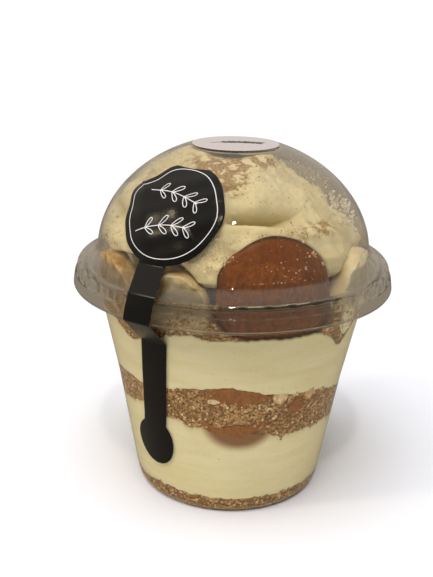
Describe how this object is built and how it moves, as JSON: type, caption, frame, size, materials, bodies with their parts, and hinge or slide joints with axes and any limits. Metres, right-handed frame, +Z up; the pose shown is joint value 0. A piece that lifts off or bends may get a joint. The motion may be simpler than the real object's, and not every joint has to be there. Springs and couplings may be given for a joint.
{
  "type": "banana pudding cheesecake cup",
  "caption": "Layered cream, biscuit crumb, wafer and banana dessert in a clear cup with a clear dome lid and a black seal strip.",
  "frame": {"origin": "centre of the cup's foot, on the surface it stands on", "axes": "+Z up the cup, -Y the side that the seal and the front wafer face, +X to the right of that side"},
  "size_m": [0.098, 0.098, 0.1086],
  "materials": {
    "clear_plastic": "clear thermoformed PET, glossy",
    "crumb": "crushed biscuit, rough and porous",
    "cream": "smooth whipped cheesecake cream, soft sheen",
    "wafer": "baked vanilla wafer, browned dome",
    "banana": "ripe banana, moist",
    "black_film": "black seal film with a thin white ring",
    "white_label": "smooth white label paper"
  },
  "bodies": {
    "root": {"cup": "clear_plastic", "lid": "clear_plastic", "crumb_base": "crumb", "cream_lower": "cream", "crumb_middle": "crumb", "cream_upper": "cream", "crumb_top": "crumb", "cream_swirl": "cream", "wafer_front": "wafer", "wafer_back": "wafer", "wafer_middle_front": "wafer", "wafer_middle_back": "wafer", "banana_left": "banana", "banana_by_seal": "banana", "banana_right": "banana", "banana_back_right": "banana", "banana_back_left": "banana", "wafer_piece": "wafer", "crumb_chunk_pale": "crumb", "crumb_chunk_tan": "crumb", "seal": "black_film", "label": "white_label"}
  },
  "joints": []
}
